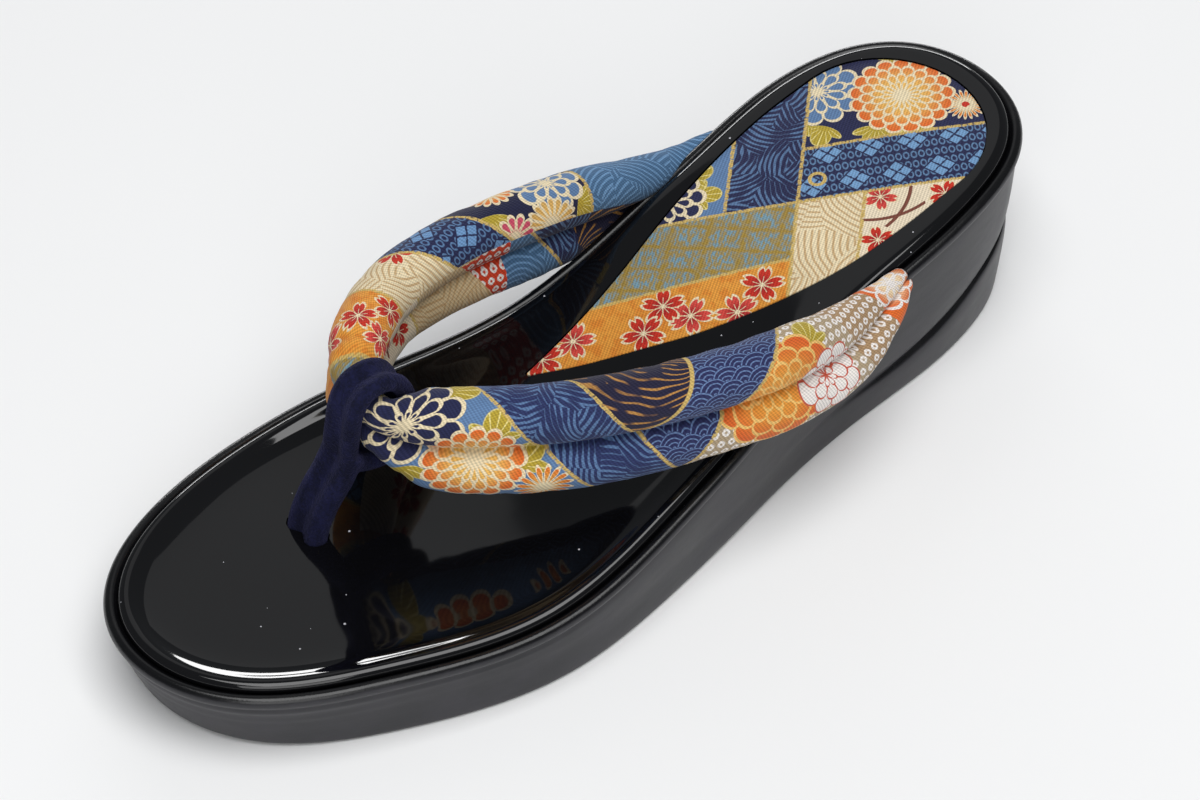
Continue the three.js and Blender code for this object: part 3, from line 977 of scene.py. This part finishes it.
def reeds(b, place):
    """Blades that fan out from the place's own origin, thin and broken."""
    x, y, _ = b.parts(place)
    distance = b.vector("LENGTH", b.stretched(place, 1, 1, 0))
    angle = b.math("ARCTAN2", y, x) + distance * 0.035
    sway = b.noise(place, 0.1, 1) * 0.45
    blades = b.sine((angle + sway) * 44)
    broken = b.ramp(b.noise(b.joined(angle * 6, distance), 0.2, 1), 0.42, 0.5)
    return b.ramp(blades, 0.55, 0.9) * broken


WATER = ground_group("curling water", water)
SCALES = ground_group("sea scales", scales)
DIAMONDS = ground_group("diamond weave", diamonds)
BROCADE = ground_group("gold brocade", brocade)
TIED = ground_group("tie-dyed rings", tied_rings)
DRAWN = ground_group("drawn lines", drawn_lines)
REEDS = ground_group("reeds", reeds)


def seam(b, place):
    waver = (b.noise(place, 0.5, 1) - 0.5) * 0.5
    off = b.parts(place)[1] + waver
    dashes = b.ramp(b.noise(b.stretched(place, 1, 0.4, 1), 1.5, 1, 0.6), 0.36, 0.5, 0.25, 1.0)
    return {"Side": off > 0, "Gold": b.line(abs(off), 0.32, 0.5) * dashes}


def twill(b, place):
    """The cotton's own weave: steep fine ribs, crossed by the weft, and the odd thick thread."""
    x, y, _ = b.parts(place)
    rib = b.sine((x + y * 0.62) * (math.tau / 0.8))
    weft = b.sine((y - x * 0.3) * (math.tau / 0.55))
    slub = b.noise(b.stretched(place, 0.35, 1.6, 1), 1.2, 2)
    height = rib * 0.35 + (weft * 0.25 + slub * 0.7)
    return {"Height": height, "Shade": b.ramp(height, -0.3, 1.0, 0.66, 1.08)}


SEAM = shared_group("gold seam", seam)
TWILL = shared_group("cotton twill", twill)
print(len(bpy.data.node_groups), "node groups on the bench")

# %% [markdown]
# ## The two printed cloths
# A patch is what lies on one side of some seams. So the cloth is painted in the order a maker would
# lay it out: a ground, the next ground over it where a seam says so, then the flowers and the gold
# seam lines. The inlay reads its place on the sandal, and the strap its place on its flat cloth.

# %% Painting helpers
def new_material(name):
    material = bpy.data.materials.new(name)
    material.use_nodes = True
    return material, Bench(material.node_tree)


class Cloth:
    """A cloth being painted: the place in millimetres and the colour so far."""

    def __init__(self, bench, place, colour):
        self.bench = bench
        self.place = place
        self.colour = colour

    def put(self, above, shown, mask=None):
        """Lays a colour over the cloth where it shows, and only where the mask is 1."""
        if mask is not None:
            shown = shown * mask
        self.colour = self.bench.cover(self.colour, above, shown)

    def at(self, x, y, degrees=0.0):
        return self.bench.placed(self.place, x, y, degrees)

    def ground(self, group, ground, figure, degrees=0.0, x=0.0, y=0.0):
        return self.bench.use(group, Place=self.at(x, y, degrees), Ground=ground, Figure=figure)["Colour"]

    def lay(self, group, ground, figure, mask, degrees=0.0, x=0.0, y=0.0):
        self.put(self.ground(group, ground, figure, degrees, x, y), mask)

    def amber(self):
        """The amber dye, which took unevenly."""
        patches = self.bench.ramp(self.bench.noise(self.place, 0.35, 3, 0.6), 0.45, 0.62)
        return self.bench.cover(AMBER, dye("d9842c"), patches)

    def seam(self, x, y, degrees):
        """A seam through a spot: which side of it a place is on, and its gold line."""
        made = self.bench.use(SEAM, Place=self.at(x, y, degrees))
        return made["Side"], made["Gold"]

    def flower(self, x, y, radius, petals, rings, heart, rim, mask, line=CREAM, width=0.42, turn=0.0):
        b = self.bench
        place = self.at(x, y, turn)
        made = b.use(CHRYSANTHEMUM, Place=place, Radius=radius, Petals=petals, Rings=rings, Line=width)
        petal_colour = b.cover(heart, rim, b.ramp(made["Depth"], 0.3, 0.95))
        shown = b.most(made["Bloom"], made["Outline"])
        self.put(b.cover(petal_colour, line, made["Outline"]), shown, mask)

    def blossoms(self, radius, mask, *rows):
        """Cherry blossoms of one size; each row is x, y, colour and turn."""
        b = self.bench
        for x, y, colour, turn in rows:
            made = b.use(BLOSSOM, Place=self.at(x, y, turn), Radius=radius)
            flower = b.cover(b.cover(colour, dye("a81f22"), made["Heart"]), CREAM, made["Outline"])
            self.put(flower, made["Bloom"], mask)

    def leaves(self, mask, *rows):
        """Fan leaves; each row is x, y, size and turn."""
        for x, y, size, turn in rows:
            made = self.bench.use(LEAF, Place=self.at(x, y, turn), Size=size)
            self.put(self.bench.cover(MUSTARD, dye("e3d48a"), made["Veins"]), made["Leaf"], mask)

    def twigs(self, mask, *rows):
        """Bent twigs; each row is x, y, degrees and length."""
        b = self.bench
        for x, y, degrees, length in rows:
            along, across, _ = b.parts(self.at(x, y, degrees))
            off = abs(across - along * along * 0.03)
            self.put(BROWN, b.line(off, 0.35, 0.5) * (abs(along) < length / 2), mask)

    def gilt(self, *lines):
        for line in lines:
            self.put(GOLD, line)

    def weave(self):
        """Ends the painting: the cloth's weave, sheen and softness under the print."""
        b = self.bench
        made = b.use(TWILL, Place=self.place)
        shade, height = made["Shade"], made["Height"]
        tint = b.ramp(b.noise(self.place, 0.05, 2), 0.3, 0.7, 0.94, 1.03)
        woven = b.vector("MULTIPLY", self.colour, b.joined(shade, shade, shade))
        b.dress(
            Base_Color=b.vector("MULTIPLY", woven, b.joined(tint, tint, tint)),
            Roughness=b.ramp(height, -0.3, 1.0, 0.9, 0.78),
            Normal=b.bump(height, 0.00008, 0.8),
            Sheen_Weight=0.08,
            Sheen_Roughness=0.5,
            Specular_IOR_Level=0.3,
        )


# %% The inlay's print
inlay_print, b = new_material("inlay_print")
cloth = Cloth(b, b.stretched(b.in_millimetres(), 1, 1, 0), CREAM)
long_side, long_gold = cloth.seam(-3.7, 61.6, 55.1)
cross_side, cross_gold = cloth.seam(-5.2, 61.7, -46.5)
crown_side, crown_gold = cloth.seam(-15.3, 71.3, 56.8)
wave_side, wave_gold = cloth.seam(-27.3, 62.3, -47.3)
twig_side, twig_gold = cloth.seam(4.9, 72.4, -47.7)
tip_side, tip_gold = cloth.seam(6.1, 48, 58.8)
under_side = 1 - long_side
toe_part = 1 - cross_side
crown = long_side * cross_side * crown_side
corner = long_side * toe_part * (1 - wave_side)
twigs = under_side * cross_side * twig_side
point = under_side * toe_part * (1 - tip_side)
toe_under = b.cover(cloth.amber(), cloth.ground(BROCADE, MIST, OCHRE), tip_side)
heel_under = b.cover(cloth.ground(DRAWN, CREAM, TAN, 20), PAPER, twig_side)
toe_over = b.cover(BLUE, cloth.ground(WATER, NAVY, BLUE, 30), wave_side)
heel_over = b.cover(cloth.ground(DIAMONDS, NAVY, SKY, 56.8), NAVY, crown_side)
under = b.cover(toe_under, heel_under, cross_side)
over = b.cover(toe_over, heel_over, cross_side)
cloth.colour = b.cover(under, over, long_side)
cloth.leaves(crown, (-16.5, 80, 6.2, -60), (-8.5, 88, 7, -50), (-2.6, 94.6, 6.6, -40))
cloth.leaves(crown, (-20, 78, 5, -100), (-22.5, 106, 5, -60))
cloth.flower(-25.6, 85.9, 10.5, 11, 3, BLUE, BLUE, crown)
cloth.flower(0.3, 107, 5.3, 20, 1, AMBER, ORANGE, crown, width=0.36)
cloth.flower(-11.6, 98.6, 12.2, 17, 5, STRAW, ORANGE, crown, width=0.4)
cloth.flower(0.3, 107, 0.9, 1, 1, RED, RED, crown, RED)
cloth.leaves(corner, (-22.3, 46.6, 6, 50), (-27.5, 48.5, 6.5, 75))
cloth.flower(-25.6, 41.5, 8.6, 10, 3, NAVY, NAVY, corner, width=0.5)
cloth.blossoms(3.9, twigs, (17.2, 84.8, RED, 10), (16.6, 65.4, RED, 40), (7.8, 74.2, PINK, 0))
cloth.twigs(twigs, (14.2, 72.5, 64, 15), (13.8, 75.6, 112, 13))
cloth.blossoms(4.7, point, (7.4, 40, RED, 20), (8.9, 31.6, PINK, 50), (1.9, 24.3, PINK, 5))
cloth.blossoms(4.7, point, (-4.6, 22, RED, 30), (-2.4, 14.6, RED, 60), (-12.6, 3.2, PINK, 15))
cloth.blossoms(4.7, point, (-14, -4.5, RED, 45))
ring_x, ring_y, _ = b.parts(cloth.at(-6.1, 68.2))
ring_out = b.vector("LENGTH", b.joined(ring_x, ring_y))
cloth.gilt(b.line(abs(ring_out - 1.7), 0.3, 0.5))
cloth.gilt(crown_gold * long_side * cross_side, wave_gold * long_side * toe_part)
cloth.gilt(twig_gold * under_side * cross_side, tip_gold * under_side * toe_part)
cloth.gilt(cross_gold, long_gold)
cloth.weave()
print("inlay print has", len(inlay_print.node_tree.nodes), "nodes")

# %% [markdown]
# ## The strap's print, in two halves
# Each side of the strap is cut from its own stretch of cloth, and the two meet under the thong, where
# no seam shows. The outer half is one material. The inner half is two, which meet along the seam of the
# diamond weave, because all its patches in one list are too many for the renderer. The cloth's X runs
# along the strap from the front, more than 0 on the outer half. Its Y runs from the lower edge to the
# upper edge, where it is 0, and on down the other face.

# %% Start of a strap half
LOWER_PATCHES = 9.0  # mm over the upper edge and down, where the second row of patches begins


def strap_half(name):
    material, b = new_material(name)
    chart = b.scaled(b.node("ShaderNodeUVMap", uv_map="cloth")[0], 1 / MM)
    chart = b.vector("SUBTRACT", chart, (CLOTH_FRONT, CLOTH_EDGE, 0))
    return material, b, Cloth(b, b.stretched(chart, 1, -1, 0), BLUE)


# %% Outer half
ARC_RADIUS = 19.3
outer_print, b, cloth = strap_half("strap_outer_print")
front_side, front_gold = cloth.seam(8.5, -2, 60)
wave_side, wave_gold = cloth.seam(25.2, 0, -53.2)
reed_side, reed_gold = cloth.seam(46.1, 0, -57.3)
scale_end, scale_end_gold = cloth.seam(81.1, -10.7, 50)
past_scales = 1 - scale_end
arc_x, arc_y, _ = b.parts(cloth.at(50, 2.5))
arc_out = b.vector("LENGTH", b.joined(arc_x, arc_y)) - ARC_RADIUS
dot_side, _ = cloth.seam(107.8, -5, -62)
tip_side, _ = cloth.seam(125, -8, -70)
cloth.colour = b.cover(BLUE, cloth.ground(BROCADE, MIST, OCHRE), front_side)
cloth.lay(WATER, dye("26305c"), dye("6080ab"), wave_side, -35)
cloth.lay(REEDS, REED_GROUND, REED_GOLD, reed_side, 0, 74, -1)
cloth.lay(SCALES, dye("272c58"), dye("6d88b5"), reed_side * (arc_out > 0), 8)
cloth.lay(TIED, dye("b09c7e"), WHITE, past_scales)
cloth.lay(TIED, dye("a98a66"), WHITE, dot_side, 12)
cloth.put(ORANGE, tip_side)
front_ground = 1 - wave_side
cloth.gilt(front_gold * front_ground)
cloth.leaves(front_ground, (26.5, -12, 8, 75), (17, 1, 7.5, 0), (32, -20, 8.5, 50), (9, -19, 9, -90))
cloth.flower(9.1, -6.2, 12.6, 11, 3, NAVY, NAVY, front_ground, width=0.5)
cloth.flower(23.6, -18.6, 10.8, 16, 4, STRAW, ORANGE, front_ground, width=0.42)
cloth.flower(37.2, -26, 6.6, 16, 1, AMBER, ORANGE, front_ground, width=0.36)
cloth.leaves(past_scales, (79.5, -16.5, 6.5, 60), (95, -6, 7.5, 70))
peony = past_scales * (1 - dot_side)
cloth.flower(87.5, -14.5, 14.2, 11, 5, AMBER, dye("dd6426"), peony, dye("edc070"), 0.38, 15)
cloth.flower(101.8, -16.4, 9.2, 8, 3, WHITE, WHITE, past_scales, dye("c9553c"), 0.22)
cloth.flower(131, -3, 7.5, 8, 3, dye("f3d9b0"), ORANGE, tip_side, WHITE, 0.5)
cloth.gilt(wave_gold, reed_gold, scale_end_gold, b.line(abs(arc_out), 0.3, 0.55) * reed_side)
cloth.weave()
print("outer half has", len(outer_print.node_tree.nodes), "nodes")

# %% Inner half, from the front to the diamond weave
front_print, b, cloth = strap_half("strap_inner_front_print")
lower = b.parts(cloth.place)[1] > LOWER_PATCHES
cloth.colour = cloth.ground(BROCADE, MIST, OCHRE)
blossom_side, blossom_gold = cloth.seam(-9, 0, 90)
cloth.put(cloth.amber(), blossom_side)
line_side, line_gold = cloth.seam(-28, 0, 97)
petals = blossom_side * (1 - line_side) * (1 - lower)
cloth.blossoms(4.2, petals, (-19, -1, RED, 10), (-15, 5.5, PINK, 40))
cloth.blossoms(4.2, petals, (-25, 5, RED, 0), (-14.5, -8, PINK, 25))
cloth.lay(DRAWN, CREAM, TAN, line_side, 60)
cloth.gilt(blossom_gold, line_gold)
cloth.blossoms(4.2, None, (-41.5, -3.5, RED, 20))
weave_side, weave_gold = cloth.seam(-44, 0, 131)
cloth.lay(DIAMONDS, NAVY, WEAVE_BLUE, weave_side, 20)
cloth.gilt(weave_gold)
twig_side, _ = cloth.seam(-11, 14, 90)
twigs = lower * twig_side
cloth.put(PAPER, twigs)
cloth.twigs(twigs, (-22, 17, 70, 14), (-30, 15, 40, 14))
cloth.blossoms(4, twigs, (-17, 12, RED, 0), (-26, 15, RED, 30), (-22, 24, RED, 10), (-34, 19, RED, 55))
straw_side, straw_gold = cloth.seam(-39, 14, 100)
cloth.lay(DRAWN, OLD_STRAW, TAN, lower * straw_side, 80)
cloth.gilt(lower * straw_gold)
cloth.weave()
print("inner front has", len(front_print.node_tree.nodes), "nodes")

# %% Inner half, from the diamond weave to the tail
rear_print, b, cloth = strap_half("strap_inner_rear_print")
lower = b.parts(cloth.place)[1] > LOWER_PATCHES
cloth.colour = cloth.ground(DIAMONDS, NAVY, WEAVE_BLUE, 20)
garden, garden_gold = cloth.seam(-60, 0, 130)
cloth.put(dye("1d1f3e"), garden)
cloth.leaves(garden, (-64, 1.5, 8, 80), (-62, 9.5, 7.5, 200), (-85, 6, 6.5, 160), (-74, -9, 7, 20))
cloth.flower(-80.5, -1.5, 8.6, 9, 3, BLUE, BLUE, garden, width=0.5)
cloth.flower(-68.5, -5.5, 5.5, 14, 2, AMBER, ORANGE, garden)
cloth.flower(-77.5, 9, 7, 18, 2, STRAW, dye("cfa45c"), garden)
cloth.flower(-68, 8.5, 5.4, 12, 2, dye("d8566a"), dye("c84a66"), garden)
cloth.flower(-72, -21, 10, 14, 4, STRAW, ORANGE, garden)
denim_side, denim_gold = cloth.seam(-89, 0, 90)
cloth.lay(DRAWN, DENIM, SKY, denim_side, 30)
cloth.gilt(garden_gold, denim_gold)
cloth.lay(DRAWN, OLD_STRAW, TAN, lower, 80)
ring_side, _ = cloth.seam(-58, 16, 125)
cloth.lay(TIED, dye("cf3f1e"), WHITE, lower * ring_side)
low_denim, _ = cloth.seam(-67.5, 16, 95)
cloth.lay(DRAWN, DENIM, SKY, lower * low_denim, 10)
low_water, low_water_gold = cloth.seam(-77, 15, 128)
cloth.lay(WATER, NAVY, BLUE, lower * low_water)
cloth.gilt(lower * low_water_gold)
low_reeds, _ = cloth.seam(-89, 14, 90)
cloth.lay(REEDS, REED_GROUND, REED_GOLD, lower * low_reeds, 0, -86, 26)
cloth.weave()
print("inner rear has", len(rear_print.node_tree.nodes), "nodes")

# %% [markdown]
# ## Leather, lacquer and velvet
# The wall is synthetic leather, so its grain is fine and even, and its gloss is broken by it; its upward
# faces, the top of the bead, carry painted shade. The board is lacquer, so it is almost a mirror with a
# few specks of dust on it. Velvet is all nap: it is dark face on and lighter at the rim, which is what
# sheen gives.

# %% Finish groups
def grain(b, place, size):
    pebbly = b.vector("DIVIDE", place, b.joined(size, size, size))
    pebbles = b.cells(pebbly, 1.0, "SMOOTH_F1")["Distance"]
    folds = b.noise(b.scaled(pebbly, 0.4), 1.0, 3, 0.6)
    wear = b.noise(b.scaled(place, 0.09), 1.0, 4, 0.6)
    return {"Height": pebbles * -0.5 + folds * 0.8, "Wear": wear}


def dust(b, place, amount):
    """Specks of several sizes, in a share of the cells."""
    spots = b.cells(place, 0.3)
    chance, size, _ = b.parts(spots["Color"])
    return {"Speck": (spots["Distance"] < size * 0.06 + 0.02) * (chance < amount)}


GRAIN = shared_group("fine grain", grain, Size=0.5)
DUST = shared_group("dust specks", dust, Amount=0.1)

# %% Wall leather, board enamel, thong velvet and tread rubber
wall_leather, b = new_material("wall_leather")
place = b.in_millimetres()
grained = b.use(GRAIN, Place=place, Size=0.55)
# Faces that look upwards, the top of the bead, are painted darker: this is painted shade, not a different
# leather. The same mask also makes them glossier.
top_painted_shade = b.ramp(b.parts(b.named("ShaderNodeNewGeometry")["Normal"])[2], 0.25, 0.75)
side_black = b.cover(dye("242428"), dye("302f34"), b.ramp(grained["Wear"], 0.35, 0.7))
fine = b.bump(grained["Height"], 0.00004, 0.5)
folds = b.noise(b.stretched(place, 0.05, 0.05, 0.12), 1.0, 2)
b.dress(
    Base_Color=b.cover(side_black, BLACK, top_painted_shade),
    Roughness=b.ramp(grained["Wear"], 0.3, 0.72, 0.36, 0.46) - top_painted_shade * 0.16,
    Normal=b.bump(folds, 0.0012, 0.25, fine),
    Specular_IOR_Level=0.42,
)

board_lacquer, b = new_material("board_lacquer")
place = b.in_millimetres()
speck = b.use(DUST, Place=place, Amount=0.34)["Speck"]
haze = b.ramp(b.noise(place, 0.05, 3, 0.6), 0.3, 0.7, 0.035, 0.075)
b.dress(
    Base_Color=b.cover(BLACK, dye("b4b4ba"), speck),
    Roughness=haze + speck * 0.5,
    Normal=b.bump(b.noise(place, 0.06, 2, 0.4), 0.0004, 0.12),
)

thong_nap, b = new_material("thong_nap")
place = b.in_millimetres()
tufts = b.noise(place, 1.6, 3, 0.65)
brushed = b.noise(b.stretched(place, 1, 1, 0.4), 0.35, 2)
b.dress(
    Base_Color=b.cover(dye("0e1024"), dye("1d1f40"), b.ramp(tufts + brushed, 0.75, 1.3)),
    Roughness=b.ramp(tufts, 0.3, 0.7, 0.85, 1.0),
    Normal=b.bump(tufts, 0.0009, 0.9),
    Sheen_Weight=0.3,
    Sheen_Roughness=0.35,
    Sheen_Tint=dye("6a6a9a"),
    Specular_IOR_Level=0.15,
)

tread_rubber, b = new_material("tread_rubber")
place = b.in_millimetres()
x, y, _ = b.parts(place)
zigzag = abs(b.centred(x / 12)) * 9
ribs = b.ramp(b.sine((y + zigzag) * (math.tau / 4.5)), -0.4, 0.3)
scuffs = b.noise(place, 0.3, 4, 0.65)
b.dress(
    Base_Color=b.cover(dye("242326"), dye("39373a"), scuffs * ribs),
    Roughness=b.ramp(scuffs, 0.3, 0.7, 0.7, 0.88),
    Normal=b.bump(ribs, 0.0008, 0.9),
)

# %% Give each piece its finish
for piece, material in (
    (wedge_sole, wall_leather),
    (enamel_board, board_lacquer),
    (printed_inlay, inlay_print),
    (padded_strap, outer_print),
    (velvet_thong, thong_nap),
):
    piece.data.materials.clear()
    piece.data.materials.append(material)
padded_strap.data.materials.append(front_print)
padded_strap.data.materials.append(rear_print)
chart = padded_strap.data.uv_layers["cloth"].data
for face in padded_strap.data.polygons:
    middle = sum((chart[loop].uv for loop in face.loop_indices), Vector((0, 0))) / face.loop_total
    along, fall = middle.x / MM - CLOTH_FRONT, CLOTH_EDGE - middle.y / MM
    in_weave = along < -50 if fall > LOWER_PATCHES else along < -51 - 0.84 * fall
    face.material_index = 0 if along > 0 else 2 if in_weave else 1
wedge_sole.data.materials.append(tread_rubber)
tread_faces = 0
for face in wedge_sole.data.polygons:
    if face.normal.z < -0.9 and face.center.z < 5 * MM:
        face.material_index = 1
        tread_faces += 1
print("tread faces", tread_faces)

# %% [markdown]
# ## Telling the frame about the pieces
# Every piece rides on the sandal's one body and stands for the plain solid that the CAD made for it,
# which is hidden. The strap is padded and the inlay is a sheet of cloth.

# %% Ride and replace
for piece, node, slot in (
    (wedge_sole, "sole_body", "wall_leather"),
    (enamel_board, "top_board", "board_enamel"),
    (printed_inlay, "heel_inlay", "inlay_cloth"),
    (padded_strap, "hanao_strap", "strap_cloth"),
    (velvet_thong, "toe_thong", "thong_velvet"),
):
    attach(piece, "root")
    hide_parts(node)
shoelace * MM * MM

# %% [markdown]
# ## Floor, light and camera
# The sandal stands on a plain pale floor. One large soft lamp from above lights the cloth, and a
# second one stands where the flat of the lacquer mirrors it, because a glossy black thing shows only
# what it reflects.

# %% Floor
floor_shell = bmesh.new()
bmesh.ops.create_grid(floor_shell, x_segments=1, y_segments=1, size=6)
floor_mesh = bpy.data.meshes.new("floor")
floor_shell.to_mesh(floor_mesh)
floor_shell.free()
floor = new_object("floor", floor_mesh)
floor_paper, b = new_material("floor_paper")
b.dress(Base_Color=(0.86, 0.86, 0.86, 1), Roughness=0.9, Specular_IOR_Level=0.1)
floor_mesh.materials.append(floor_paper)


# %% Lights
def aim_at(holder, target):
    direction = Vector(target) - holder.location
    holder.rotation_euler = direction.to_track_quat("-Z", "Y").to_euler()


def soft_lamp(name, place, target, width, height, power):
    lamp = bpy.data.lights.new(name, "AREA")
    lamp.shape = "RECTANGLE"
    lamp.size = width
    lamp.size_y = height
    lamp.energy = power
    holder = new_object(name, lamp)
    holder.location = place
    aim_at(holder, target)


soft_lamp("overhead", (0.35, -0.1, 1.5), (0, 0, 0), 1.2, 1.2, 20)
soft_lamp("board mirror", (-0.60, 0.38, 0.72), (0, -0.06, 0.02), 0.5, 0.42, 0.21)
soft_lamp("rim light", (-1.1, 0.8, 0.28), (0, 0, 0.02), 1.2, 0.16, 7)
soft_lamp("front fill", (1.1, -0.9, 0.9), (0, 0, 0.03), 1.0, 1.0, 8)
world = bpy.data.worlds.new("studio")
world.use_nodes = True
sky = world.node_tree.nodes["Background"].inputs
sky["Color"].default_value = (0.9, 0.95, 1, 1)
sky["Strength"].default_value = 0.18
bpy.context.scene.world = world
bpy.context.scene.view_settings.view_transform = "Standard"

# %% Camera
camera = bpy.data.cameras.new("camera")
camera.lens = 118
camera.clip_start = 0.05
camera_holder = new_object("camera", camera)
azimuth, elevation = math.radians(53.7), math.radians(43.34)
right = Vector((math.cos(azimuth), math.sin(azimuth), 0))
level = math.cos(elevation)
back = Vector((math.sin(azimuth) * level, -math.cos(azimuth) * level, math.sin(elevation)))
up = back.cross(right)
spot = right * -0.03507 + up * 0.04486 + back * 0.866 + Vector((SIDE_SHIFT * MM, 0, 0))
camera_holder.location = spot
aim_at(camera_holder, (0.0015, -0.001, 0.0215))
bpy.context.scene.camera = camera_holder
print("camera at", [round(value, 4) for value in spot])
